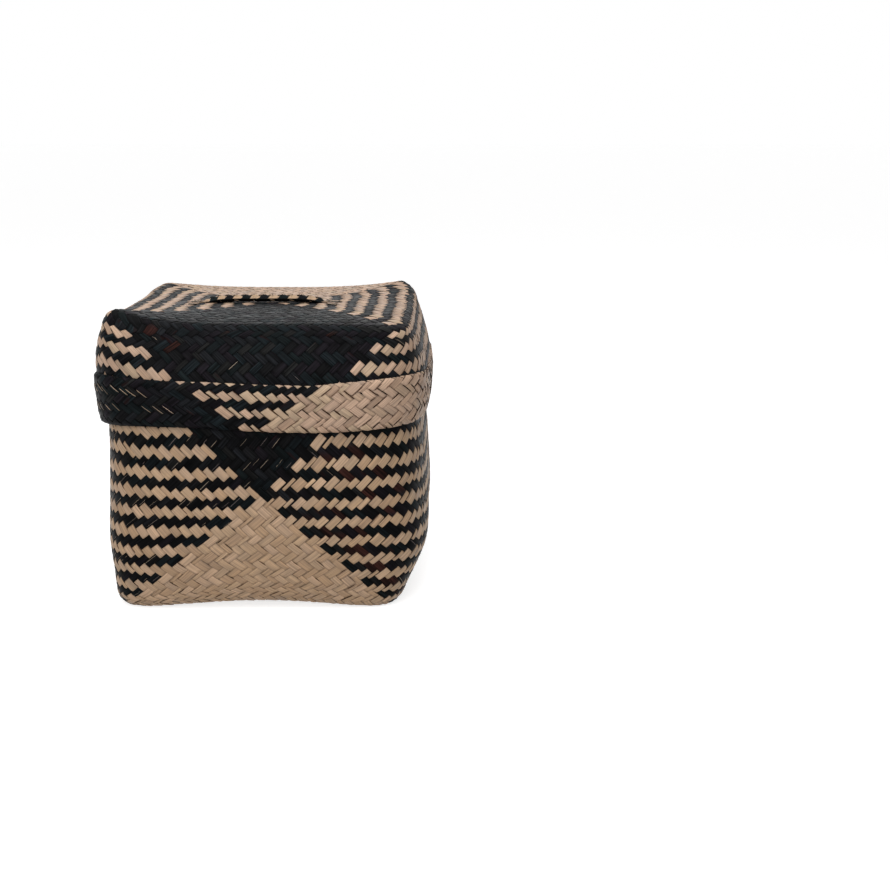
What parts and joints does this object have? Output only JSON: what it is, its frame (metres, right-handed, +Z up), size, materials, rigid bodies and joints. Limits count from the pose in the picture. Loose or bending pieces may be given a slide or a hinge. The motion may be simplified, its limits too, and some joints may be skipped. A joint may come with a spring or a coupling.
{
  "type": "plaited leaf box",
  "caption": "Square lidded keepsake box plaited from flat leaf strips in natural and black, with a deep slip-over lid, a folded cuff and a flat plaited strap handle.",
  "frame": {"origin": "centre of the base, on the surface the box stands on", "axes": "+Z up along the way the lid lifts, +X to the right along the strap handle, -Y out of the front face"},
  "size_m": [0.2462, 0.2462, 0.2214],
  "materials": {
    "leaf_natural": "flat plaited leaf strips, undyed, matte with a faint sheen along the fibres",
    "leaf_black": "flat plaited leaf strips, dyed black, satin"
  },
  "bodies": {
    "basket": {"body_basket": "leaf_natural", "body_rim_fold": "leaf_natural"},
    "lid": {"lid_basket": "leaf_black", "lid_cuff": "leaf_natural", "lid_handle": "leaf_natural"}
  },
  "joints": [
    {"name": "lid_lift", "type": "slide", "parent": "basket", "child": "lid", "axis": [0, 0, 1], "range_m": [0, 0.12]}
  ]
}
